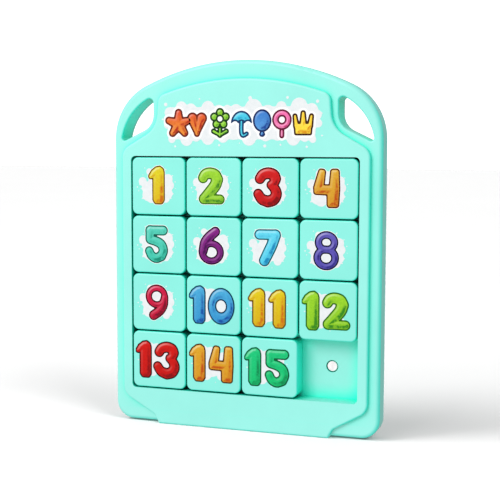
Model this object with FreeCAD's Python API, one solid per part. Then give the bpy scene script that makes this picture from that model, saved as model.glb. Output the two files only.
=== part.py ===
import FreeCAD, Part
import math
import os

# Magnetic sliding number puzzle, standing upright on its bottom edge. Millimetres.
# +Z is up, the front faces -Y, and the origin is at the middle of the bottom edge.

# --- driving dimensions ---
PITCH = 28.0  # cell to cell
CELLS = 4
GRID_Z = 73.4  # height of the grid's centre
BOARD_W = 132.0
BOARD_H = 174.4
BOARD_D = 14.0
CROWN_R = 115.0  # top arch
SHOULDER_R = 28.0  # between the arch and the sides
FOOT_R = 8.5  # bottom corners
FOOT_LIFT = 0.7  # the board's outline stays this far above the foot that it stands on
FOOT_HALF_W = 42.5
WALL = 2.0

FRONT_Y = -BOARD_D / 2  # face of the raised panel and of the tiles
BACK_Y = BOARD_D / 2
PANEL_STEP = 2.2  # panel face stands this far in front of the rim
RIM_Y = FRONT_Y + PANEL_STEP
RIM_ROUND = 2.0
PANEL_ROUND = 1.1
BACK_ROUND = 1.8
PARTING_Y = -2.5  # where the front shell meets the back cover
SEAM = 0.25  # both edges are bevelled by this, which leaves a fine groove round the board
COVER_FLOOR_Y = BACK_Y - WALL

PANEL_HALF_W = 61.0
PANEL_TOP = 92.4  # above the grid's centre
PANEL_CROWN_R = 118.0
PANEL_CROWN_HALF_W = 42.1  # where the panel's arch meets its sides
HEADER_HALF_W = 38.0  # pocket behind the panel's header, measured from the grid's centre
HEADER_LOW = 60.5
HEADER_TOP = 82.0

WELL_DEPTH = 9.2
WELL_GAP = 0.3  # between a full row of cells and the well's wall
WELL_HALF = CELLS * PITCH / 2 + WELL_GAP
WELL_R = 2.2
WELL_WALL = 3.1
WELL_FLOOR = 2.4
WELL_Y = FRONT_Y + WELL_DEPTH

HOLE_WALL = 1.8
HOLE_ROUND = 0.9  # front edge of the handle holes
LIP_T = 1.2  # tongue of the front shell inside the back cover
LIP_H = 2.0
LIP_GAP = 0.15
LIP_ROOT = 0.8  # how far the tongue's root stays behind the rim's face

DISC_R = 2.5
DISC_T = 1.5
DISC_POCKET_R = 2.9
DISC_POCKET_T = 1.9
DISC_EDGE = 0.2  # bevel
DISC_RISE = 0.8  # the discs sit this far above the cells' middles

TILE = 27.3
TILE_CORNER_R = 2.9
TILE_EDGE_R = 0.8
TILE_WALL = 1.5
TILE_FLOOR_GAP = 0.1
CAVITY_CORNER_R = 1.4  # inside the hollow cap
TILE_BACK_Y = WELL_Y - TILE_FLOOR_GAP
BASE_T = 1.6
BASE_GAP = 0.1
MAGNET_R = 4.0
MAGNET_T = 3.0
SOCKET_WALL = 1.2
SOCKET_H = 2.5
SOCKET_GAP = 0.05
EMPTY_CELL = (3, 3)  # row, column, counted from the top left

SCREW_SPOTS = [(-50, 8), (0, 8), (50, 8), (-30, 147), (30, 147), (0, 163)]
BOSS_R = 3.2
PILOT_R = 1.2
PILOT_DEPTH = 8.5
COVER_BORE_R = 1.4
SCREW_SHANK_R = 1.15
SCREW_LENGTH = 8.0
SCREW_TIP = 0.6  # bevel
HEAD_R = 2.4
HEAD_T = 1.3
HEAD_SEAT_GAP = 0.1
CROSS_W = 0.7
CROSS_L = 2.8
CROSS_DEPTH = 0.7

OVERLAP = 0.5  # bodies that are fused run into each other by this
OVERRUN = 5.0  # cutting bodies run past the material by this


# --- helpers ---
def at(x, z, y=0.0):
    return FreeCAD.Vector(x, y, z)


def line(a, b):
    return Part.LineSegment(at(*a), at(*b)).toShape()


def arc(a, middle, b):
    return Part.Arc(at(*a), at(*middle), at(*b)).toShape()


def prism(wire, y_low, y_high):
    """The solid between two planes of constant y, from a wire drawn at y = 0."""
    face = Part.Face(wire)
    face.translate(FreeCAD.Vector(0, y_low, 0))
    return face.extrude(FreeCAD.Vector(0, y_high - y_low, 0))


def cylinder(x, z, radius, y_low, y_high):
    return Part.makeCylinder(radius, y_high - y_low, at(x, z, y_low), FreeCAD.Vector(0, 1, 0))


def rounded_square(half, radius, y_low, y_high, x=0.0, z=0.0):
    block = Part.makeBox(2 * half, y_high - y_low, 2 * half, at(x - half, z - half, y_low))
    uprights = [e for e in block.Edges if abs(e.tangentAt(e.FirstParameter).y) > 0.99]
    return block.makeFillet(radius, uprights)


def edges_on_plane(solid, y):
    """Edges that lie wholly in the plane at y."""
    box = [(e, e.BoundBox) for e in solid.Edges]
    return [e for e, b in box if abs(b.YMin - y) < 1e-4 and abs(b.YMax - y) < 1e-4]


def touches(edge, solid):
    """True if the middle of the edge lies on the solid."""
    middle = edge.valueAt((edge.FirstParameter + edge.LastParameter) / 2)
    return solid.distToShape(Part.Vertex(middle))[0] < 1e-4


def round_uprights(solid, corners):
    """Round the edges along Y that stand at the given (x, z, radius) corners."""
    for x, z, radius in corners:
        found = []
        for edge in solid.Edges:
            a, b = edge.Vertexes[0].Point, edge.Vertexes[-1].Point
            upright = abs(a.x - b.x) < 1e-5 and abs(a.z - b.z) < 1e-5 and abs(a.y - b.y) > 0.1
            if upright and math.hypot(a.x - x, a.z - z) < 1e-3:
                found.append(edge)
        solid = solid.makeFillet(radius, found)
    return solid


def mirrored(shape):
    return shape.mirror(FreeCAD.Vector(0, 0, 0), FreeCAD.Vector(1, 0, 0))


def one_solid(shape):
    """The single solid of a boolean result, with its coplanar faces merged."""
    shape = shape.removeSplitter()
    if len(shape.Solids) != 1:
        raise RuntimeError("expected one solid, got %d" % len(shape.Solids))
    return shape.Solids[0]


def cell_centre(row, column):
    middle = (CELLS - 1) / 2
    return (column - middle) * PITCH, GRID_Z + (middle - row) * PITCH


# --- outlines ---
def board_wire(inset=0.0):
    """The board's outline: flat foot, straight sides, shoulders and a wide arch, all offset inwards."""
    half = BOARD_W / 2 - inset
    crown_z = BOARD_H - CROWN_R
    crown = CROWN_R - inset
    shoulder = SHOULDER_R - inset
    foot = FOOT_R - inset
    low = FOOT_LIFT + inset
    foot_z = FOOT_LIFT + FOOT_R
    cx = BOARD_W / 2 - SHOULDER_R
    cz = crown_z + math.sqrt((CROWN_R - SHOULDER_R) ** 2 - cx ** 2)
    join = math.atan2(cx, cz - crown_z)  # angle from +Z where arch and shoulder meet
    meet = (crown * math.sin(join), crown_z + crown * math.cos(join))
    turn = (join + math.pi / 2) / 2
    mid_shoulder = (cx + shoulder * math.sin(turn), cz + shoulder * math.cos(turn))
    fx = BOARD_W / 2 - FOOT_R
    diagonal = foot / math.sqrt(2)
    right = [
        line((0, low), (fx, low)),
        arc((fx, low), (fx + diagonal, foot_z - diagonal), (half, foot_z)),
        line((half, foot_z), (half, cz)),
        arc((half, cz), mid_shoulder, meet),
    ]
    top = arc(meet, (0, crown_z + crown), (-meet[0], meet[1]))
    left = [mirrored(e) for e in right]
    return Part.Wire(Part.__sortEdges__(right + [top] + left))


def panel_prism(y_low, y_high):
    """The raised panel: it hugs the handle holes at the top and steps in to an apron at the foot."""
    crown_z = PANEL_TOP - PANEL_CROWN_R
    corners = [
        (FOOT_HALF_W, -GRID_Z, 0.0),
        (44.8, -69.1, 3.0),
        (PANEL_HALF_W, -59.9, 6.5),
        (PANEL_HALF_W, 59.3, 6.5),
        (43.3, 69.5, 12.0),
        (PANEL_CROWN_HALF_W, crown_z + math.sqrt(PANEL_CROWN_R ** 2 - PANEL_CROWN_HALF_W ** 2), 4.5),
    ]
    spots = [(x, GRID_Z + z) for x, z, r in corners]
    right = [line(a, b) for a, b in zip(spots, spots[1:])]
    top_x, top_z = spots[-1]
    top = arc((top_x, top_z), (0, GRID_Z + PANEL_TOP), (-top_x, top_z))
    foot = line((-spots[0][0], spots[0][1]), spots[0])
    left = [mirrored(e) for e in right]
    solid = prism(Part.Wire(Part.__sortEdges__([foot] + right + [top] + left)), y_low, y_high)
    rounds = [(x * side, GRID_Z + z, r) for x, z, r in corners if r for side in (1, -1)]
    return round_uprights(solid, rounds)


def handle_prism(y_low, y_high, grow=0.0):
    """The right-hand handle hole: upright inner side, sloped bottom, and a side along the shoulder."""
    inner_x, low_z = 45.6, GRID_Z + 70.7
    tip = (62.3, GRID_Z + 62.7)
    bulge = (56.2, GRID_Z + 77.0)
    top = (inner_x, GRID_Z + 84.6)
    corner = (inner_x, low_z)
    wire = Part.Wire([line(top, corner), line(corner, tip), arc(tip, bulge, top)])
    solid = prism(wire, y_low, y_high)
    solid = round_uprights(solid, [(*corner, 8.5), (*tip, 1.3), (*top, 2.0)])
    if grow:
        face = [f for f in solid.Faces if abs(f.normalAt(0, 0).y) > 0.99][0]
        ring = face.OuterWire.makeOffset2D(grow)
        ring.translate(FreeCAD.Vector(0, -ring.BoundBox.YMin, 0))
        solid = prism(ring, y_low, y_high)
    return solid


# --- front shell ---
def wall_back(x, z):
    """The inner face of the front wall, which lies further forward behind the header."""
    in_header = abs(x) < HEADER_HALF_W and HEADER_LOW < z - GRID_Z < HEADER_TOP
    return (FRONT_Y if in_header else RIM_Y) + WALL


def front_shell():
    rim = prism(board_wire(), RIM_Y, PARTING_Y)
    rim = rim.makeFillet(RIM_ROUND, edges_on_plane(rim, RIM_Y))
    rim = rim.makeChamfer(SEAM, edges_on_plane(rim, PARTING_Y))
    panel = panel_prism(FRONT_Y, PARTING_Y)
    panel = panel.makeFillet(PANEL_ROUND, edges_on_plane(panel, FRONT_Y))
    shell = rim.fuse(panel)
    shell = shell.cut(prism(board_wire(WALL), RIM_Y + WALL, PARTING_Y))
    pocket = Part.makeBox(
        2 * HEADER_HALF_W,
        PANEL_STEP + WALL,
        HEADER_TOP - HEADER_LOW,
        at(-HEADER_HALF_W, GRID_Z + HEADER_LOW, FRONT_Y + WALL),
    )
    shell = shell.cut(pocket)
    root_y = RIM_Y + LIP_ROOT
    tongue = prism(board_wire(WALL + LIP_GAP), root_y, PARTING_Y + LIP_H)
    tongue = tongue.cut(prism(board_wire(WALL + LIP_GAP + LIP_T), root_y, PARTING_Y + LIP_H))
    well_half = WELL_HALF + WELL_WALL
    tub_y = RIM_Y + OVERLAP
    tub = rounded_square(well_half, WELL_R + WELL_WALL, tub_y, WELL_Y + WELL_FLOOR, z=GRID_Z)
    shell = shell.fuse([tongue, tub])
    tube = handle_prism(RIM_Y + OVERLAP, COVER_FLOOR_Y, grow=HOLE_WALL)
    bosses = [cylinder(x, z, BOSS_R, wall_back(x, z) - OVERLAP, COVER_FLOOR_Y) for x, z in SCREW_SPOTS]
    shell = shell.fuse([tube, mirrored(tube)] + bosses)
    hole = handle_prism(RIM_Y - OVERRUN, BACK_Y)
    pilots = [cylinder(x, z, PILOT_R, COVER_FLOOR_Y - PILOT_DEPTH, BACK_Y) for x, z in SCREW_SPOTS]
    well = rounded_square(WELL_HALF, WELL_R, FRONT_Y - OVERRUN, WELL_Y, z=GRID_Z)
    pockets = []
    for row in range(CELLS):
        for column in range(CELLS):
            x, z = cell_centre(row, column)
            pockets.append(cylinder(x, z + DISC_RISE, DISC_POCKET_R, WELL_Y, WELL_Y + DISC_POCKET_T))
    shell = one_solid(shell.cut([hole, mirrored(hole), well] + pilots + pockets))
    holes = [hole, mirrored(hole)]
    front_edges = [e for e in edges_on_plane(shell, RIM_Y) if any(touches(e, h) for h in holes)]
    return one_solid(shell.makeFillet(HOLE_ROUND, front_edges))


# --- back cover ---
def back_cover():
    cover = prism(board_wire(), PARTING_Y, BACK_Y)
    cover = cover.makeFillet(BACK_ROUND, edges_on_plane(cover, BACK_Y))
    cover = cover.makeChamfer(SEAM, edges_on_plane(cover, PARTING_Y))
    cover = cover.cut(prism(board_wire(WALL), PARTING_Y, COVER_FLOOR_Y))
    foot = Part.makeBox(
        2 * FOOT_HALF_W,
        BACK_Y - BACK_ROUND - PARTING_Y,
        FOOT_LIFT + OVERLAP,
        at(-FOOT_HALF_W, 0, PARTING_Y),
    )
    cover = cover.fuse(foot)
    hole = handle_prism(COVER_FLOOR_Y - OVERRUN, BACK_Y + OVERRUN)
    cuts = [hole, mirrored(hole)]
    for x, z in SCREW_SPOTS:
        cuts.append(cylinder(x, z, COVER_BORE_R, COVER_FLOOR_Y - OVERRUN, BACK_Y + OVERRUN))
        cuts.append(screw_head(x, z, HEAD_SEAT_GAP))
    return one_solid(cover.cut(cuts))


def screw_head(x, z, grow=0.0):
    """A countersunk head, its face flush with the back of the board."""
    return Part.makeCone(
        SCREW_SHANK_R + grow,
        HEAD_R + grow,
        HEAD_T,
        at(x, z, BACK_Y - HEAD_T),
        FreeCAD.Vector(0, 1, 0),
    )


def back_screw(x, z):
    shank = cylinder(x, z, SCREW_SHANK_R, BACK_Y - SCREW_LENGTH, BACK_Y - HEAD_T)
    tip = shank.makeChamfer(SCREW_TIP, edges_on_plane(shank, BACK_Y - SCREW_LENGTH))
    screw = tip.fuse(screw_head(x, z))
    for wide, tall in ((CROSS_L, CROSS_W), (CROSS_W, CROSS_L)):
        corner = at(x - wide / 2, z - tall / 2, BACK_Y - CROSS_DEPTH)
        screw = screw.cut(Part.makeBox(wide, CROSS_DEPTH, tall, corner))
    return one_solid(screw)


def cell_disc(row, column):
    x, z = cell_centre(row, column)
    front = WELL_Y + DISC_POCKET_T - DISC_T
    disc = cylinder(x, z + DISC_RISE, DISC_R, front, WELL_Y + DISC_POCKET_T)
    return disc.makeChamfer(DISC_EDGE, edges_on_plane(disc, front))


# --- tiles ---
def tile_cap(x, z):
    cap = rounded_square(TILE / 2, TILE_CORNER_R, FRONT_Y, TILE_BACK_Y, x, z)
    cap = cap.makeFillet(TILE_EDGE_R, edges_on_plane(cap, FRONT_Y))
    room = TILE / 2 - TILE_WALL
    inside = rounded_square(room, CAVITY_CORNER_R, FRONT_Y + TILE_WALL, TILE_BACK_Y, x, z)
    return one_solid(cap.cut(inside))


def tile_base(x, z):
    """The plate that closes the cap, with the magnet's socket standing on its inner side."""
    half = TILE / 2 - TILE_WALL - BASE_GAP
    plate_y = TILE_BACK_Y - BASE_T
    plate = rounded_square(half, CAVITY_CORNER_R - BASE_GAP, plate_y, TILE_BACK_Y, x, z)
    bore = MAGNET_R + SOCKET_GAP
    socket = cylinder(x, z, bore + SOCKET_WALL, plate_y - SOCKET_H, plate_y)
    socket = socket.cut(cylinder(x, z, bore, plate_y - MAGNET_T, plate_y))
    return one_solid(plate.fuse(socket))


def tile_magnet(x, z):
    plate_y = TILE_BACK_Y - BASE_T
    return cylinder(x, z, MAGNET_R, plate_y - MAGNET_T, plate_y)


# --- export ---
os.makedirs("parts", exist_ok=True)
nodes = {
    "front_shell": front_shell(),
    "back_cover": back_cover(),
    "back_screws": Part.makeCompound([back_screw(x, z) for x, z in SCREW_SPOTS]),
}
cells = [(row, column) for row in range(CELLS) for column in range(CELLS)]
nodes["cell_discs"] = Part.makeCompound([cell_disc(row, column) for row, column in cells])
for number, cell in enumerate([c for c in cells if c != EMPTY_CELL], start=1):
    x, z = cell_centre(*cell)
    nodes["tile_%02d_cap" % number] = tile_cap(x, z)
    nodes["tile_%02d_base" % number] = tile_base(x, z)
    nodes["tile_%02d_magnet" % number] = tile_magnet(x, z)
for name, shape in nodes.items():
    shape.exportStep("parts/%s.step" % name)
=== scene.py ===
import math

import bmesh
import bpy
import numpy as np
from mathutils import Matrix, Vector


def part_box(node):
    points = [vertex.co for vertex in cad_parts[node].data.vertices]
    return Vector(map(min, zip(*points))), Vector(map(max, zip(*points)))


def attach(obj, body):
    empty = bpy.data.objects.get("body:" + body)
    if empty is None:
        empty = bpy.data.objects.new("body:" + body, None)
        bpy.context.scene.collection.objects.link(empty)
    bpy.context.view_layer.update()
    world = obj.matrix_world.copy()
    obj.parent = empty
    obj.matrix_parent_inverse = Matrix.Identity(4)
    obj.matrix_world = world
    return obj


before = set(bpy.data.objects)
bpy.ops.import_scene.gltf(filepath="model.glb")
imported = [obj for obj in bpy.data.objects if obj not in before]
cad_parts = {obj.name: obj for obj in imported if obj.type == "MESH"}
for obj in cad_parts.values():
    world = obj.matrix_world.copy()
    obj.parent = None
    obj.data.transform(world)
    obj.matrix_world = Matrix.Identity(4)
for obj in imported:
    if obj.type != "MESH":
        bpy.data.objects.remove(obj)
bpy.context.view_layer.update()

# A magnetic sliding number puzzle. The CAD nodes keep their shapes and get plastic and metal
# here; the printed numbers, clouds and header signs are thin plates of ink made in this script.
# The frame is in metres. The drawings of the print and the plates of ink are in millimetres.

MM = 0.001
TILES = range(1, 16)

# --- sizes read from the frame ---
FACE_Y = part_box("tile_01_cap")[0].y  # the tiles' faces and the panel's face
FLOOR_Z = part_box("front_shell")[0].z  # the board stands here


def tile_centre(number):
    low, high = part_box("tile_%02d_cap" % number)
    return (low + high) / 2


GRID_X = (tile_centre(1).x + tile_centre(4).x) / 2
GRID_Z = (tile_centre(1).z + tile_centre(13).z) / 2


# --- node helpers ---
def new_material(name):
    material = bpy.data.materials.new(name)
    material.use_nodes = True
    tree = material.node_tree
    shader = tree.nodes["Principled BSDF"]
    return material, tree, shader


def add(tree, kind, **inputs):
    """A new node with some of its inputs set."""
    node = tree.nodes.new(kind)
    for key, value in inputs.items():
        node.inputs[key].default_value = value
    return node


def feed(tree, socket, value):
    """Give a socket its value: another socket, or a number or colour of its own."""
    if isinstance(value, (float, tuple)):
        socket.default_value = value
    else:
        tree.links.new(value, socket)


def noise(tree, scale, detail=3.0, roughness=0.5):
    """3-D noise fixed to the piece; scale is in features per metre."""
    where = tree.nodes.new("ShaderNodeTexCoord")
    texture = add(tree, "ShaderNodeTexNoise", Scale=scale, Detail=detail, Roughness=roughness)
    tree.links.new(where.outputs["Object"], texture.inputs["Vector"])
    return texture.outputs["Fac"]


def ramp(tree, value, stops):
    """Colour ramp: stops are (position, colour)."""
    node = tree.nodes.new("ShaderNodeValToRGB")
    elements = node.color_ramp.elements
    while len(elements) < len(stops):
        elements.new(0.5)
    for element, (position, colour) in zip(elements, stops):
        element.position = position
        element.color = colour
    tree.links.new(value, node.inputs["Fac"])
    return node.outputs["Color"]


def remap(tree, value, before, after=(0.0, 1.0)):
    """The range before, stretched in a straight line onto the range after, and clamped there."""
    node = tree.nodes.new("ShaderNodeMapRange")
    for socket, number in zip(("From Min", "From Max", "To Min", "To Max"), before + after):
        node.inputs[socket].default_value = number
    tree.links.new(value, node.inputs["Value"])
    return node.outputs["Result"]


def mix(tree, factor, first, second):
    """Colour mix; first and second are sockets or colours."""
    node = tree.nodes.new("ShaderNodeMix")
    node.data_type = "RGBA"
    for socket, value in zip((node.inputs[0], node.inputs[6], node.inputs[7]), (factor, first, second)):
        feed(tree, socket, value)
    return node.outputs[2]


def combined(tree, operation, first, second):
    """A sum, product or larger value of two; each is a socket or a number."""
    node = tree.nodes.new("ShaderNodeMath")
    node.operation = operation
    feed(tree, node.inputs[0], first)
    feed(tree, node.inputs[1], second)
    return node.outputs["Value"]


def along(tree, vector, direction):
    """The cosine of the angle between a unit vector's socket and a fixed direction."""
    node = tree.nodes.new("ShaderNodeVectorMath")
    node.operation = "DOT_PRODUCT"
    node.inputs[1].default_value = Vector(direction).normalized()
    tree.links.new(vector, node.inputs[0])
    return node.outputs["Value"]


def bump(tree, shader, height, distance, strength):
    node = add(tree, "ShaderNodeBump", Strength=strength, Distance=distance)
    tree.links.new(height, node.inputs["Height"])
    tree.links.new(node.outputs["Normal"], shader.inputs["Normal"])


def shade(colour, factor):
    """The colour with each channel multiplied, and no channel over 1."""
    return tuple(min(1.0, channel * factor) for channel in colour[:3]) + (1.0,)


# --- materials ---
HOLLOW_REACH = 0.0078  # how far off, in metres, a wall still makes a hollow that gets painted shade
HOLLOW_SAMPLES = 8
HOLLOW_OPEN = (0.42, 0.96)  # the openness at which a hollow's painted shade is full, and at which it is gone
GAP_OPEN = (0.05, 0.28)  # the same for the painted dark shade in narrow gaps
GAP_SHADE = 0.22  # the painted gap shade's share of the hollow shade colour
FLOOR_FADE = (0.006, 0.012)  # metres above the floor: no painted hollow shade shows below, and all of it shows above
# The side the painted shade is set against: faces turned from it get painted shade.
BRIGHT_SIDE = (-0.5, -0.6, 0.6)
TURNED = (-0.4, 0.55)  # cosines of the angle to the bright side: turned away, where the painted shade is full, and facing it, where there is none
MINT = (0.255, 0.73, 0.645, 1.0)
TILE_MINT = (0.205, 0.71, 0.615, 1.0)
# Painted shade for hollows and narrow gaps in the body and tiles.
MINT_HOLLOW_SHADE = (0.008, 0.84, 0.64, 1.0)
# Painted shade for faces of the body and tiles turned from the bright side.
MINT_TURNED_SHADE = (0.0, 1.0, 0.80, 1.0)
COVER = (0.20, 0.72, 0.63, 1.0)
# Painted shade for the cover's hollows and narrow gaps.
COVER_HOLLOW_SHADE = (0.04, 0.73, 0.54, 1.0)
STEEL = (0.93, 0.90, 0.90, 1.0)
ZINC = (0.62, 0.62, 0.64, 1.0)


def openness(tree):
    """1 on open faces, down to 0 far inside a hollow; it masks the painted hollow shade. The floor that the
    board stands on makes no hollow.
    """
    hollows = add(tree, "ShaderNodeAmbientOcclusion", Distance=HOLLOW_REACH)
    hollows.samples = HOLLOW_SAMPLES
    where = tree.nodes.new("ShaderNodeTexCoord")
    split = tree.nodes.new("ShaderNodeSeparateXYZ")
    tree.links.new(where.outputs["Object"], split.inputs["Vector"])
    low, high = FLOOR_FADE
    near_floor = remap(tree, split.outputs["Z"], (FLOOR_Z + low, FLOOR_Z + high), (1.0, 0.0))
    return combined(tree, "MAXIMUM", hollows.outputs["AO"], near_floor)


def moulded_plastic(name, colour, hollow_shade, turned_shade, rough, through):
    """Satin injection-moulded ABS: faint flow mottling, fine texture, a little handling wear.

    In hollows it goes towards a painted shade colour, standing in for the light its walls throw on
    each other, and in narrow gaps to a darker painted shade of it. Faces turned from the bright side
    go towards another painted shade colour, at most by the share through.
    """
    material, tree, shader = new_material(name)
    flow = noise(tree, scale=28.0, detail=4.0, roughness=0.6)
    tint = ramp(tree, flow, [(0.3, shade(colour, 0.955)), (0.7, shade(colour, 1.03))])
    normal = tree.nodes.new("ShaderNodeNewGeometry").outputs["Normal"]
    # Painted shade: faces turned from the bright side get up to the share through of the turned-away
    # colour.
    facing = remap(tree, along(tree, normal, BRIGHT_SIDE), TURNED, (1.0 - through, 1.0))
    open_air = openness(tree)
    outside = mix(tree, facing, turned_shade, tint)
    # Painted shade: the hollow colour far inside hollows, and a dark share of it in narrow gaps.
    body = mix(tree, remap(tree, open_air, HOLLOW_OPEN), hollow_shade, outside)
    shaded = mix(tree, remap(tree, open_air, GAP_OPEN), shade(hollow_shade, GAP_SHADE), body)
    tree.links.new(shaded, shader.inputs["Base Color"])
    smear = noise(tree, scale=90.0, detail=5.0, roughness=0.65)
    worn = remap(tree, smear, (0.3, 0.7), (rough - 0.05, rough + 0.08))
    tree.links.new(worn, shader.inputs["Roughness"])
    bump(tree, shader, noise(tree, scale=2600.0, detail=2.0), distance=0.03 * MM, strength=0.35)
    shader.inputs["Specular IOR Level"].default_value = 0.5
    return material


def metal(name, colour, rough):
    """Plated or polished metal with faint stains and fine scratches."""
    material, tree, shader = new_material(name)
    stain = noise(tree, scale=700.0, detail=4.0, roughness=0.6)
    tint = ramp(tree, stain, [(0.35, shade(colour, 0.86)), (0.65, colour)])
    tree.links.new(tint, shader.inputs["Base Color"])
    scratch = noise(tree, scale=3000.0, detail=4.0, roughness=0.7)
    worn = remap(tree, scratch, (0.3, 0.7), (rough - 0.06, rough + 0.12))
    tree.links.new(worn, shader.inputs["Roughness"])
    shader.inputs["Metallic"].default_value = 1.0
    bump(tree, shader, scratch, distance=0.02 * MM, strength=0.3)
    return material


def assign(name, material):
    """Give a CAD node its only material."""
    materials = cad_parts[name].data.materials
    materials.clear()
    materials.append(material)


body_mint = moulded_plastic("mint_plastic_body", MINT, MINT_HOLLOW_SHADE, MINT_TURNED_SHADE, rough=0.38, through=0.85)
tile_mint = moulded_plastic("mint_plastic_tile", TILE_MINT, MINT_HOLLOW_SHADE, MINT_TURNED_SHADE, rough=0.34, through=0.85)
cover_mint = moulded_plastic("cover_plastic_back", COVER, COVER_HOLLOW_SHADE, COVER_HOLLOW_SHADE, rough=0.42, through=0.0)
steel = metal("steel_disc", STEEL, rough=0.3)
zinc = metal("screw_zinc", ZINC, rough=0.32)
assign("front_shell", body_mint)
assign("back_cover", cover_mint)
assign("cell_discs", steel)
assign("back_screws", zinc)
for number in TILES:
    assign("tile_%02d_cap" % number, tile_mint)
    assign("tile_%02d_base" % number, tile_mint)
    assign("tile_%02d_magnet" % number, zinc)


# --- flat drawings as signed distances, in millimetres, negative inside ---
CURVE_STEPS = 6  # straight runs between two points of a curve


def stroke(points):
    """A fat pen line: points are (x, z, pen radius), joined by straight runs that taper between them."""

    def distance(x, z):
        best = np.full(x.shape, 1e3)
        for (ax, az, ar), (bx, bz, br) in zip(points, points[1:]):
            dx, dz = bx - ax, bz - az
            t = np.clip(((x - ax) * dx + (z - az) * dz) / (dx * dx + dz * dz), 0, 1)
            best = np.minimum(best, np.hypot(x - ax - t * dx, z - az - t * dz) - (ar + t * (br - ar)))
        return best

    return distance


def block(corners, radius):
    """A polygon grown outwards by a radius, so that its corners are round."""

    def distance(x, z):
        edge = np.full(x.shape, 1e3)
        inside = np.zeros(x.shape, bool)
        for (ax, az), (bx, bz) in zip(corners, corners[1:] + corners[:1]):
            dx, dz = bx - ax, bz - az
            t = np.clip(((x - ax) * dx + (z - az) * dz) / (dx * dx + dz * dz), 0, 1)
            edge = np.minimum(edge, np.hypot(x - ax - t * dx, z - az - t * dz))
            crosses = (az > z) != (bz > z)
            slope = dx / dz if dz else 0.0
            inside ^= crosses & (x < ax + (z - az) * slope)
        return np.where(inside, -edge, edge) - radius

    return distance


def oval(cx, cz, rx, rz):
    """An ellipse about (cx, cz). The distance is good only near its outline."""

    def distance(x, z):
        near = np.hypot((x - cx) / rx, (z - cz) / rz) + 1e-9
        slope = np.hypot((x - cx) / rx**2, (z - cz) / rz**2) + 1e-9
        return near * (near - 1) / slope

    return distance


def cut(shape, hole):
    return lambda x, z: np.maximum(shape(x, z), -hole(x, z))


def ring(cx, cz, rx, rz, hole_x, hole_z):
    return cut(oval(cx, cz, rx, rz), oval(cx, cz, hole_x, hole_z))


def union(*shapes, soft=0.0):
    """All the shapes together, with the creases between them filled to about the soft radius."""

    def distance(x, z):
        best = shapes[0](x, z)
        for shape in shapes[1:]:
            other = shape(x, z)
            if soft:
                h = np.clip(0.5 + 0.5 * (other - best) / soft, 0, 1)
                best = other * (1 - h) + best * h - soft * h * (1 - h)
            else:
                best = np.minimum(best, other)
        return best

    return distance


def moved(shape, dx, dz):
    return lambda x, z: shape(x - dx, z - dz)


def grown(shape, amount):
    return lambda x, z: shape(x, z) - amount


def curve(*points):
    """A fat pen line that runs smoothly through the points (x, z, pen radius), a Catmull-Rom curve."""
    fine = []
    padded = [points[0], *points, points[-1]]
    for a, b, c, d in zip(padded, padded[1:], padded[2:], padded[3:]):
        for step in range(CURVE_STEPS):
            t = step / CURVE_STEPS
            weights = (
                -0.5 * t**3 + t**2 - 0.5 * t,
                1.5 * t**3 - 2.5 * t**2 + 1,
                -1.5 * t**3 + 2 * t**2 + 0.5 * t,
                0.5 * t**3 - 0.5 * t**2,
            )
            fine.append(tuple(sum(w * p[i] for w, p in zip(weights, (a, b, c, d))) for i in range(3)))
    return stroke(fine + [points[-1]])


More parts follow.
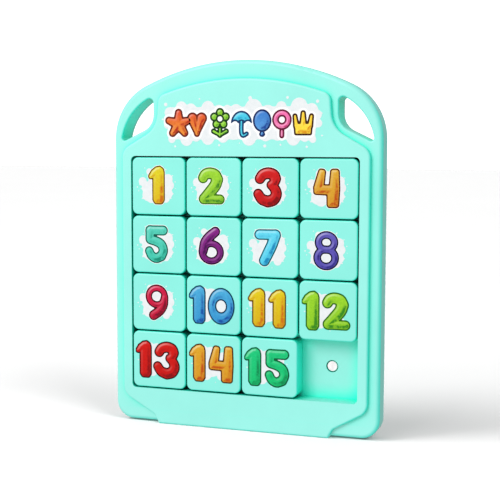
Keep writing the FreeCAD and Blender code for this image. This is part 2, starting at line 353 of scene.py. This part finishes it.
# Each digit is drawn about its own middle.
DIGITS = {
    "0": ring(0, 0, 6.8, 8.8, 2.4, 2.8),
    "1": block(
        [(-2.9, 4.6), (-1.7, 6.6), (0.1, 8.0), (1.6, 8.3), (2.6, 7.6), (2.9, 6.4)]
        + [(2.9, -6.4), (2.3, -7.3), (-0.1, -7.3), (-0.7, -6.4), (-0.7, 5.0)],
        1.5,
    ),
    "2": union(
        curve((-4.1, 4.2, 2.6), (-3.0, 5.8, 2.7), (-0.7, 6.4, 2.8), (1.9, 5.6, 2.9), (2.9, 3.5, 3.0)),
        curve((2.9, 3.5, 3.0), (2.0, 0.8, 3.0), (-0.6, -2.4, 2.9), (-3.5, -5.5, 2.7)),
        stroke([(-3.9, -5.8, 2.4), (4.4, -5.8, 2.4)]),
        soft=0.4,
    ),
    "3": union(
        curve((-3.9, 4.2, 2.6), (-2.5, 6.0, 2.7), (0.2, 6.7, 2.8), (2.8, 5.9, 2.8), (3.5, 4.2, 2.8)),
        curve((3.5, 4.2, 2.8), (3.0, 2.4, 2.5), (1.5, 1.3, 2.2)),
        curve((1.5, 1.3, 2.2), (3.4, -0.6, 2.6), (4.0, -3.0, 2.8), (2.6, -5.4, 2.9), (0.0, -6.3, 2.8)),
        curve((0.0, -6.3, 2.8), (-2.9, -5.3, 2.7), (-4.7, -2.9, 2.5)),
        soft=0.3,
    ),
    "4": union(
        block(
            [(-2.7, 7.6), (-1.9, 7.5), (-2.6, 0.6), (3.0, 0.4), (3.0, -1.6), (-4.8, -1.4), (-4.9, 0.5)],
            1.6,
        ),
        block([(3.0, 7.6), (4.5, 7.6), (4.8, 0.0), (4.4, -7.2), (1.5, -7.2), (1.4, -2.5), (2.4, 1.0)], 1.6),
        soft=0.5,
    ),
    "5": union(
        stroke([(-3.4, 6.7, 2.45), (3.4, 6.8, 2.45)]),
        stroke([(-3.4, 6.7, 2.45), (-3.5, 2.6, 2.4)]),
        curve((-3.2, 2.2, 2.3), (0.2, 1.4, 2.5), (2.6, -0.2, 2.5), (3.4, -3.0, 2.5), (2.3, -5.5, 2.5)),
        curve((2.3, -5.5, 2.5), (-0.2, -6.5, 2.5), (-2.6, -5.5, 2.4), (-3.9, -3.2, 2.3)),
        soft=0.4,
    ),
    "6": union(
        ring(0.0, -2.8, 6.4, 5.9, 2.7, 2.35),
        curve((-4.0, -2.2, 2.3), (-3.2, 1.4, 2.6), (-1.0, 4.4, 2.6), (2.1, 7.0, 2.4)),
        soft=0.6,
    ),
    "7": union(
        stroke([(-4.1, 6.3, 2.5), (3.9, 6.4, 2.5)]),
        curve((3.4, 5.8, 2.9), (2.2, 2.0, 2.8), (0.3, -2.0, 2.8), (-1.6, -5.8, 2.7)),
        soft=0.5,
    ),
    "8": union(ring(0.1, 3.6, 5.6, 5.2, 1.9, 1.6), ring(0.0, -3.5, 6.1, 5.7, 2.3, 2.1), soft=0.5),
    "9": union(
        ring(-0.1, 2.9, 5.9, 5.8, 2.45, 2.3),
        curve((3.9, 2.4, 2.0), (3.4, -0.8, 2.4), (1.5, -3.9, 2.5), (-1.8, -6.3, 2.5)),
        soft=0.6,
    ),
}
# Where a digit's middle goes, (x, z) from the tile's centre.
SINGLE_PLACE = (-0.95, 0.0)
PAIR_PLACES = ((-8.2, -0.5), (4.0, -0.3))
ELEVEN_PLACES = ((-6.3, -0.4), (3.7, -0.6))  # two narrow digits stand closer


def number_shape(number):
    """The number on one tile, as seen from the front, measured from the tile's centre."""
    if number < 10:
        return moved(DIGITS[str(number)], *SINGLE_PLACE)
    places = ELEVEN_PLACES if number == 11 else PAIR_PLACES
    return union(*(moved(DIGITS[digit], *place) for digit, place in zip(str(number), places)))


# --- plates of ink ---
SUNK = 0.02  # how far the plates' backs sit below the face, so that nothing floats
CLOUD_HEIGHT, HALO_HEIGHT, OUTLINE_HEIGHT, FILL_HEIGHT = 0.04, 0.06, 0.08, 0.10
HALO_WIDTH, OUTLINE_WIDTH = 0.25, 0.65
LETTER_STEP, TILE_CLOUD_STEP, HEADER_CLOUD_STEP, HEADER_HALO_STEP = 0.3, 0.4, 0.5, 0.4
SLIVER = 0.1  # share of a step that an outline keeps from the grid's points, so no cell is thinner
SAME_FACE = 0.01  # radians; faces at less than this to each other count as one
MARKS = ("dark", "light", "tone")


def sheet_cells(shape, box, step):
    """A drawing filled with small cells.

    It gives the points (x, z) and each cell's corners, anticlockwise as seen from the front.
    """
    x = np.arange(box[0], box[2] + step, step)
    z = np.arange(box[1], box[3] + step, step)
    field = shape(*np.meshgrid(x, z, indexing="ij"))
    sliver = SLIVER * step
    field = np.where(np.abs(field) < sliver, np.where(field < 0, -sliver, sliver), field)
    inside = field < 0
    numbers, points, cells = {}, [], []

    def point(key, px, pz):
        if key not in numbers:
            numbers[key] = len(points)
            points.append((px, pz))
        return numbers[key]

    touched = inside[:-1, :-1] | inside[1:, :-1] | inside[1:, 1:] | inside[:-1, 1:]
    for i, j in zip(*(index.tolist() for index in np.nonzero(touched))):
        corners = [(i, j), (i + 1, j), (i + 1, j + 1), (i, j + 1)]
        cell = []
        for a, b in zip(corners, corners[1:] + corners[:1]):
            if inside[a]:
                cell.append(point(a, x[a[0]], z[a[1]]))
            if inside[a] != inside[b]:
                t = field[a] / (field[a] - field[b])
                px = x[a[0]] + t * (x[b[0]] - x[a[0]])
                pz = z[a[1]] + t * (z[b[1]] - z[a[1]])
                cell.append(point((min(a, b), max(a, b)), px, pz))
        cells.append(cell)
    return points, cells


def merged_cells(points, cells):
    """The same sheet with its inner cells joined into a few large faces."""
    mesh = bmesh.new()
    corners = [mesh.verts.new((px, 0, pz)) for px, pz in points]
    for cell in cells:
        mesh.faces.new([corners[k] for k in cell])
    inner = [edge for edge in mesh.edges if len(edge.link_faces) == 2]
    bmesh.ops.dissolve_limit(mesh, angle_limit=SAME_FACE, verts=[], edges=inner)
    mesh.verts.index_update()
    points = [(v.co.x, v.co.z) for v in mesh.verts]
    cells = [[v.index for v in face.verts] for face in mesh.faces]
    mesh.free()
    return points, cells


def ink_print(name, place, body, layers):
    """One printed piece of closed thin plates in front of the board's face.

    place is where the drawing's zero goes on the board, as (x, z). Each layer is (shape, box, step,
    height, material, shading): box is (left, bottom, right, top), height is how far the plate's face
    stands out, and shading, if there is any, gives each point its marks.
    """
    points, faces, slots = [], [], []
    values = {key: [] for key in MARKS}
    data = bpy.data.meshes.new(name)
    for slot, (shape, box, step, height, material, shading) in enumerate(layers):
        data.materials.append(material)
        flat, cells = sheet_cells(shape, box, step)
        if shading is None:
            flat, cells = merged_cells(flat, cells)
        count, start = len(flat), len(points)
        for y in (FACE_Y - height * MM, FACE_Y + SUNK * MM):
            points += [(place[0] + px * MM, y, place[1] + pz * MM) for px, pz in flat]
        sides = {(a, b) for cell in cells for a, b in zip(cell, cell[1:] + cell[:1])}
        rim = sorted((a, b) for a, b in sides if (b, a) not in sides)
        made = [[start + k for k in cell] for cell in cells]
        made += [[start + count + k for k in reversed(cell)] for cell in cells]
        made += [[start + b, start + a, start + count + a, start + count + b] for a, b in rim]
        faces += made
        slots += [slot] * len(made)
        px, pz = np.array(flat).T
        marks = shading(px, pz) if shading else {}
        for key in values:
            values[key] += 2 * list(marks.get(key, np.zeros(count)))
    data.from_pydata(points, [], faces)
    data.polygons.foreach_set("material_index", slots)
    for key, numbers in values.items():
        data.attributes.new(key, "FLOAT", "POINT").data.foreach_set("value", numbers)
    data.update()
    piece = bpy.data.objects.new(name, data)
    bpy.context.scene.collection.objects.link(piece)
    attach(piece, body)


SLOPE_REACH = 0.15  # how far to each side of a point its slope is measured
SHADOW_DEPTH, SHADOW_BAND, SHADOW_STRENGTH = 1.7, 0.7, 4.5  # depth and width of a letter's dark marks
GLINT_DEPTH, GLINT_BAND = 1.3, 0.4  # the same for its light marks


def band(depth, middle, width):
    """1 where the depth is the band's middle, fading to 0 on both sides of it."""
    return np.exp(-(((depth - middle) / width) ** 2))


def painted(shape, bottom, top):
    """Marks on a fat letter: dark low on its right, light high on its left, tone rising to the top."""

    def marks(x, z):
        depth = -shape(x, z)
        right = (shape(x + SLOPE_REACH, z) - shape(x - SLOPE_REACH, z)) / (2 * SLOPE_REACH)
        up = (shape(x, z + SLOPE_REACH) - shape(x, z - SLOPE_REACH)) / (2 * SLOPE_REACH)
        low_right = np.clip(0.75 * right - 0.66 * up, 0, 1) ** 1.6
        high_left = np.clip(-0.60 * right + 0.80 * up, 0, 1) ** 2.2
        tone = np.clip((z - bottom) / (top - bottom), 0, 1)
        shadow = SHADOW_STRENGTH * low_right * band(depth, SHADOW_DEPTH, SHADOW_BAND)
        dark = np.minimum(1, shadow * (1 - tone) ** 1.3)
        light = high_left * band(depth, GLINT_DEPTH, GLINT_BAND) * (0.2 + 0.8 * tone**3)
        return {"dark": dark, "light": light, "tone": tone}

    return marks


# --- inks ---
INK = 0.84  # share of a screen colour's brightness that its ink has, because the studio light lifts it
INK_SPECULAR = 0.1


def ink_colour(screen):
    """Linear colour of an ink from the 8-bit screen values that it is to show."""
    linear = [c / 255 / 12.92 if c <= 10 else ((c / 255 + 0.055) / 1.055) ** 2.4 for c in screen]
    return (*(c * INK for c in linear), 1.0)


def ink(name, paint):
    """A satin printed layer. paint makes its colour's and roughness's sockets in the new tree."""
    material, tree, shader = new_material(name)
    colour, rough = paint(tree)
    tree.links.new(colour, shader.inputs["Base Color"])
    tree.links.new(rough, shader.inputs["Roughness"])
    shader.inputs["Specular IOR Level"].default_value = INK_SPECULAR
    bump(tree, shader, noise(tree, scale=5000.0, detail=2.0), distance=0.01 * MM, strength=0.3)
    return material


def flat_ink(name, colour, patch):
    """One printed colour, patchy as a pad-printed layer is."""

    def paint(tree):
        patches = noise(tree, scale=420.0, detail=4.0, roughness=0.6)
        tint = ramp(tree, patches, [(0.35, ink_colour(patch)), (0.65, ink_colour(colour))])
        return tint, remap(tree, noise(tree, scale=900.0), (0.3, 0.7), (0.34, 0.46))

    return ink(name, paint)


def letter_ink(name, low, high, dark, pale):
    """The body colour of a painted letter: low to high by tone, with its dark and pale brush marks."""

    def mark(tree, key):
        node = tree.nodes.new("ShaderNodeAttribute")
        node.attribute_name = key
        return node.outputs["Fac"]

    def paint(tree):
        body = mix(tree, mark(tree, "tone"), ink_colour(low), ink_colour(high))
        speckle = noise(tree, scale=1500.0, detail=4.0, roughness=0.65)
        grain = mix(tree, remap(tree, speckle, (0.35, 0.75), (0.0, 0.35)), body, ink_colour(dark))
        patches = remap(tree, noise(tree, scale=500.0, roughness=0.6), (0.4, 0.55), (0.35, 1.0))
        brushed = combined(tree, "MULTIPLY", mark(tree, "dark"), patches)
        shaded = mix(tree, brushed, grain, ink_colour(dark))
        colour = mix(tree, mark(tree, "light"), shaded, ink_colour(pale))
        return colour, remap(tree, speckle, (0.3, 0.7), (0.32, 0.44))

    return ink(name, paint)


CLOUD_INK = flat_ink("ink_cloud", (236, 239, 240), (227, 232, 234))
HALO_INK = flat_ink("ink_halo", (255, 255, 255), (248, 251, 250))
PALE_SHARE = 0.55  # how far a letter's pale brush marks go from its high colour to white
EDGE_PATCH = 0.85  # how dark an outline's darker patches are
TONE_MARGIN = 2  # the tone starts and ends this far inside a letter's box


def letter_layers(shape, box, ink_names, colours, outline_width):
    """Outline and body of one letter.

    ink_names are its outline's and its body's. colours are its body's high on the letter and low
    on it, its brush shadow's and its outline's.
    """
    high, low, dark, edge = colours
    outline_ink = flat_ink(ink_names[0], edge, [int(c * EDGE_PATCH) for c in edge])
    pale = [int(c + PALE_SHARE * (255 - c)) for c in high]
    fill_ink = letter_ink(ink_names[1], low, high, dark, pale)
    body = grown(shape, -outline_width)
    shading = painted(shape, box[1] + TONE_MARGIN, box[3] - TONE_MARGIN)
    return [
        (shape, box, LETTER_STEP, OUTLINE_HEIGHT, outline_ink, None),
        (body, box, LETTER_STEP, FILL_HEIGHT, fill_ink, shading),
    ]


# --- the numbers on the tiles ---
# Screen colours: body high and low on the number, brush shadow, and outline.
NUMBER_COLOURS = {
    1: ((224, 218, 38), (222, 186, 25), (200, 105, 15), (120, 85, 0)),
    2: ((165, 222, 55), (150, 208, 48), (60, 130, 30), (58, 115, 15)),
    3: ((215, 28, 28), (200, 20, 22), (130, 5, 12), (65, 0, 0)),
    4: ((226, 180, 55), (212, 152, 38), (185, 75, 10), (95, 35, 0)),
    5: ((92, 214, 192), (66, 202, 176), (20, 140, 115), (10, 98, 82)),
    6: ((138, 36, 136), (122, 28, 122), (70, 8, 78), (30, 0, 30)),
    7: ((105, 222, 244), (84, 210, 238), (25, 135, 185), (5, 95, 110)),
    8: ((104, 94, 186), (88, 78, 176), (42, 34, 120), (10, 15, 50)),
    9: ((214, 26, 74), (200, 18, 56), (122, 5, 35), (65, 0, 15)),
    10: ((78, 178, 222), (56, 154, 210), (20, 80, 160), (0, 50, 85)),
    11: ((226, 208, 25), (214, 178, 18), (200, 112, 15), (115, 80, 0)),
    12: ((162, 220, 45), (146, 206, 36), (55, 135, 25), (45, 110, 10)),
    13: ((214, 22, 14), (202, 16, 10), (135, 5, 8), (60, 0, 0)),
    14: ((226, 175, 44), (214, 152, 32), (188, 78, 12), (85, 35, 0)),
    15: ((28, 206, 128), (20, 198, 114), (8, 135, 78), (0, 95, 55)),
}
# Clouds are circles (x, z, radius).
PUFFS = [
    (-8.1, 2.1, 2.1), (-6.0, -0.9, 2.6), (-5.3, -4.3, 3.0), (-3.5, -5.6, 2.6), (5.0, 3.4, 2.4),
    (5.7, 0.4, 2.4), (4.8, -3.5, 2.6), (3.9, -6.0, 1.9), (-4.6, 6.8, 1.6), (-1.0, 4.0, 4.0),
    (-1.0, -1.0, 5.5),
]
DROPS = [
    (-10.9, -0.6, 0.4), (-9.0, -1.3, 0.32), (-8.3, -6.0, 0.4), (7.6, -3.5, 0.32), (8.7, 2.1, 0.32),
    (-7.0, 8.5, 0.32), (3.9, 7.9, 0.4), (-9.6, 0.6, 0.28), (-10.2, -2.4, 0.3), (-7.9, 5.2, 0.3),
    (7.4, 5.0, 0.32), (8.9, -0.9, 0.3), (6.6, -5.9, 0.3), (-6.6, -8.4, 0.28), (1.2, -8.9, 0.3),
]
TILE_BOX = (-12.4, -11.0, 12.4, 11.0)


def puffs(circles, soft=0.0):
    return union(*(oval(cx, cz, r, r) for cx, cz, r in circles), soft=soft)


def print_number(number):
    """A tile's cloud and number. A single digit has a white halo too."""
    shape = number_shape(number)
    layers = [(TILE_CLOUD, TILE_BOX, TILE_CLOUD_STEP, CLOUD_HEIGHT, CLOUD_INK, None)]
    if number < 10:
        layers.append((grown(shape, HALO_WIDTH), TILE_BOX, LETTER_STEP, HALO_HEIGHT, HALO_INK, None))
    ink_names = ("ink_outline_%02d" % number, "ink_number_%02d" % number)
    layers += letter_layers(shape, TILE_BOX, ink_names, NUMBER_COLOURS[number], OUTLINE_WIDTH)
    centre = tile_centre(number)
    ink_print("tile_%02d_print" % number, (centre.x, centre.z), "tile_%02d" % number, layers)


TILE_CLOUD = union(puffs(PUFFS, soft=0.5), puffs(DROPS))
for number in TILES:
    print_number(number)


# --- the header's picture, drawn about the middle of the tiles' grid ---
HEADER_PUFFS = [
    (-36.2, 76.8, 2.4), (-30.0, 79.2, 2.8), (-25.2, 78.3, 2.7), (-16.6, 79.0, 3.1), (-11.3, 77.8, 2.4),
    (-7.0, 78.3, 1.9), (-2.7, 77.8, 2.7), (5.9, 78.5, 4.2), (12.8, 77.3, 2.7), (19.3, 79.2, 2.4),
    (27.8, 79.2, 3.9), (33.7, 77.8, 2.8), (36.4, 75.4, 2.1), (-34.9, 64.2, 1.8), (-27.4, 64.2, 3.1),
    (-22.5, 65.2, 2.1), (-16.6, 64.7, 3.1), (-9.1, 65.2, 2.6), (-3.8, 66.7, 2.6), (3.7, 64.7, 3.4),
    (11.8, 65.7, 2.4), (17.6, 65.7, 2.1), (25.1, 64.5, 3.1), (30.5, 65.2, 2.1), (34.3, 64.2, 1.6),
    (-37.0, 71.0, 1.9), (36.8, 71.5, 1.9),
]
HEADER_DROPS = [
    (-38.0, 80.6, 0.9), (-39.6, 73.6, 0.5), (4.2, 83.2, 0.9), (-33.2, 60.9, 0.55), (-11.0, 61.5, 0.6),
    (11.4, 61.2, 0.8), (22.2, 83.2, 0.7), (36.4, 81.4, 0.8), (38.4, 76.0, 0.5), (19.0, 61.8, 0.5),
    (31.5, 60.9, 0.6), (-1.0, 62.4, 0.4), (38.6, 66.0, 0.5), (-20.8, 83.0, 0.45),
]


def around(count):
    """Unit steps (x, z) in even directions, the first straight up."""
    angles = [math.radians(90) + k * 2 * math.pi / count for k in range(count)]
    return [(math.cos(angle), math.sin(angle)) for angle in angles]


def star(count, reach, middle_radius, tip_radius):
    """Fat round arms from one middle, each narrower at its tip."""
    arms = [stroke([(0, 0, middle_radius), (reach * x, reach * z, tip_radius)]) for x, z in around(count)]
    return union(*arms, soft=0.5)


def blossom(cz, count, spread, radius, hole):
    """Round petals round a hole, above the drawing's middle by cz."""
    petals = [(spread * x, cz + spread * z, radius) for x, z in around(count)]
    return cut(puffs([(0, cz, spread), *petals], soft=0.4), oval(0, cz, hole, hole))


def canopy(cz, rx, rz, scallop):
    """The top half of an oval, with three scallops along its straight edge at height cz."""
    dome = oval(0, cz, rx, rz)
    bites = puffs([(k * 2 * scallop, cz - 0.4 * scallop, scallop) for k in (-1, 0, 1)], soft=0.2)
    return cut(lambda x, z: np.maximum(dome(x, z), cz - z), bites)


# Star, heart, flower, umbrella, balloon, lollipop and crown, each drawn about its own middle.
SIGNS = [
    star(5, 5.2, 2.99, 1.95),
    union(stroke([(-2.3, 2.6, 2.8), (0, -4.6, 1.4)]), stroke([(2.3, 2.6, 2.8), (0, -4.6, 1.4)]), soft=0.6),
    union(
        blossom(2.3, 5, 3.0, 2.1, 1.2),
        stroke([(0, -2.2, 1.2), (0, -5.4, 1.2)]),
        stroke([(0.2, -5.0, 1.2), (3.2, -3.4, 1.3)]),
        stroke([(-0.2, -5.0, 1.2), (-3.2, -3.4, 1.3)]),
        soft=0.3,
    ),
    union(
        canopy(0.2, 5.2, 5.8, 1.6),
        curve((0, 1.0, 1.2), (0, -4.0, 1.2), (0.9, -5.4, 1.15), (2.6, -4.6, 1.1)),
        soft=0.3,
    ),
    union(oval(0, 1.4, 4.5, 5.2), stroke([(0, -3.6, 0.9), (0, -4.6, 1.5)]), soft=0.4),
    union(ring(0, 1.8, 4.7, 4.7, 1.4, 1.4), stroke([(0, -3.4, 1.25), (0, -5.5, 1.25)]), soft=0.3),
    union(
        block([(-3.3, -4.4), (3.3, -4.4), (3.6, -0.4), (-3.6, -0.4)], 1.0),
        stroke([(-3.2, -1.0, 1.6), (-3.9, 3.4, 1.25)]),
        stroke([(0, -1.0, 2.0), (0, 4.7, 1.35)]),
        stroke([(3.2, -1.0, 1.6), (3.9, 3.4, 1.25)]),
        soft=0.5,
    ),
]
SIGN_X = (-31.4, -22.1, -10.6, 0.0, 10.1, 19.6, 29.7)
SIGN_Z = 71.4
SIGN_HALF_W, SIGN_HALF_H = 7, 8.5
SIGN_HALO_WIDTH, SIGN_OUTLINE_WIDTH = 1.0, 0.85
# As for the numbers: body high and low on the sign, brush shadow, and outline.
SIGN_COLOURS = [
    ((228, 68, 42), (245, 165, 60), (175, 40, 20), (120, 35, 18)),
    ((228, 68, 42), (245, 165, 60), (175, 40, 20), (120, 35, 18)),
    ((140, 208, 45), (165, 232, 70), (45, 130, 25), (20, 62, 20)),
    ((70, 205, 235), (90, 225, 240), (25, 130, 180), (18, 60, 110)),
    ((50, 120, 205), (110, 180, 235), (28, 70, 150), (16, 40, 100)),
    ((248, 105, 175), (252, 165, 205), (190, 40, 110), (110, 12, 55)),
    ((255, 212, 40), (255, 236, 80), (215, 140, 15), (70, 35, 10)),
]
HEADER_BLOCK = block([(-35, 65.6), (34, 65.6), (35, 77.8), (-35, 77.8)], 1.4)
HEADER_CLOUD_BOX = (-41, 59, 41, 85)
HEADER_HALO_BOX = (-39, 63, 38, 80)


def print_header():
    """The header's cloud and its row of signs, with one white halo round them all."""
    cloud = union(HEADER_BLOCK, puffs(HEADER_PUFFS, soft=0.8), soft=0.8)
    cloud = union(cloud, puffs(HEADER_DROPS))
    signs = [moved(sign, x, SIGN_Z) for sign, x in zip(SIGNS, SIGN_X)]
    halo = grown(union(*signs), SIGN_HALO_WIDTH)
    layers = [
        (cloud, HEADER_CLOUD_BOX, HEADER_CLOUD_STEP, CLOUD_HEIGHT, CLOUD_INK, None),
        (halo, HEADER_HALO_BOX, HEADER_HALO_STEP, HALO_HEIGHT, HALO_INK, None),
    ]
    for k, (sign, x, colours) in enumerate(zip(signs, SIGN_X, SIGN_COLOURS)):
        box = (x - SIGN_HALF_W, SIGN_Z - SIGN_HALF_H, x + SIGN_HALF_W, SIGN_Z + SIGN_HALF_H)
        ink_names = ("ink_sign_outline_%d" % k, "ink_sign_%d" % k)
        layers += letter_layers(sign, box, ink_names, colours, SIGN_OUTLINE_WIDTH)
    ink_print("header_print", (GRID_X, GRID_Z), "board", layers)


print_header()


# --- stage, camera and lights ---
FLOOR_SIZE = 12.0
FLOOR_TONES = ((0.388, 0.388, 0.388, 1.0), (0.392, 0.392, 0.392, 1.0))
CAMERA_PLACE = (0.17306, -0.49621, 0.13482)
CAMERA_TURN = (84.645, -0.168, 19.042)  # degrees about X, Y and Z
CAMERA_LENS, CAMERA_SENSOR = 80.3, 36.0  # millimetres
ROOM_LEVEL = 0.60
FRONT_WALL, FRONT_LEVEL = (-0.33, -0.94, 0.1), 1.12
OVERHEAD, TOP_LEVEL = (0.0, 0.0, 1.0), 0.95
BACKDROP_LEVEL = 1.0
KEY_PLACE, KEY_SIZE, KEY_POWER = (-0.75, -1.5, 1.1), 0.9, 19.0
WASH_LEFT, WASH_RIGHT = (-0.9, -0.5, 0.9), (0.9, -0.5, 0.9)
WASH_SPREAD = 30.0  # degrees


def make_floor():
    """A plain paper floor. It gives the board no light or mirror image from below."""
    bpy.ops.mesh.primitive_plane_add(size=FLOOR_SIZE, location=(0, 0, FLOOR_Z))
    floor = bpy.context.object
    floor.name = "studio_floor"
    material, tree, shader = new_material("floor_paper")
    tint = ramp(tree, noise(tree, scale=3.0), list(zip((0.3, 0.7), FLOOR_TONES)))
    tree.links.new(tint, shader.inputs["Base Color"])
    shader.inputs["Roughness"].default_value = 0.6
    shader.inputs["Specular IOR Level"].default_value = 0.2
    floor.data.materials.append(material)
    floor.visible_diffuse = False
    floor.visible_glossy = False
    return floor


def make_camera():
    data = bpy.data.cameras.new("camera")
    data.lens = CAMERA_LENS
    data.sensor_width = CAMERA_SENSOR
    data.clip_start = 0.01
    data.clip_end = 100.0
    camera = bpy.data.objects.new("camera", data)
    camera.location = CAMERA_PLACE
    camera.rotation_euler = [math.radians(angle) for angle in CAMERA_TURN]
    bpy.context.scene.collection.objects.link(camera)
    bpy.context.scene.camera = camera


def lobe(tree, direction, narrow, wide, level):
    """Extra world brightness around one direction; narrow and wide are cosines."""
    where = tree.nodes.new("ShaderNodeTexCoord").outputs["Generated"]
    return remap(tree, along(tree, where, direction), (wide, narrow), (0.0, level))


def make_world():
    """A dim pale room, brighter in front and overhead. The camera sees it as a white backdrop."""
    world = bpy.data.worlds.new("studio")
    world.use_nodes = True
    tree = world.node_tree
    background = tree.nodes["Background"]
    background.inputs["Color"].default_value = (1.0, 1.0, 1.0, 1.0)
    seen = tree.nodes.new("ShaderNodeLightPath").outputs["Is Camera Ray"]
    front = lobe(tree, FRONT_WALL, narrow=0.9, wide=0.3, level=FRONT_LEVEL - ROOM_LEVEL)
    top = lobe(tree, OVERHEAD, narrow=1.0, wide=0.3, level=TOP_LEVEL - ROOM_LEVEL)
    level = combined(tree, "MULTIPLY", seen, BACKDROP_LEVEL)
    for more in (ROOM_LEVEL, front, top):
        level = combined(tree, "ADD", level, more)
    tree.links.new(level, background.inputs["Strength"])
    bpy.context.scene.world = world


def aimed(data, place, target):
    """A light's object at a place, turned to its target and hidden from the camera."""
    light = bpy.data.objects.new(data.name, data)
    light.location = place
    light.rotation_euler = (Vector(target) - Vector(place)).to_track_quat("-Z", "Y").to_euler()
    light.visible_camera = False
    bpy.context.scene.collection.objects.link(light)
    return light


def softbox(name, place, target, size, power):
    data = bpy.data.lights.new(name, "AREA")
    data.shape = "SQUARE"
    data.size = size
    data.energy = power
    return aimed(data, place, target)


def floor_wash(name, direction, strength, floor):
    """Soft light from far away on the floor alone; direction points from the board to the light."""
    data = bpy.data.lights.new(name, "SUN")
    data.angle = math.radians(WASH_SPREAD)
    data.energy = strength
    light = aimed(data, direction, (0, 0, 0))
    group = bpy.data.collections.new(name + "_receivers")
    group.objects.link(floor)
    light.light_linking.receiver_collection = group


floor = make_floor()
make_camera()
make_world()
softbox("key", KEY_PLACE, (0, 0, GRID_Z), KEY_SIZE, KEY_POWER)
floor_wash("floor_wash_left", WASH_LEFT, 4.9, floor)
floor_wash("floor_wash_right", WASH_RIGHT, 3.3, floor)
bpy.context.scene.view_settings.view_transform = "Standard"
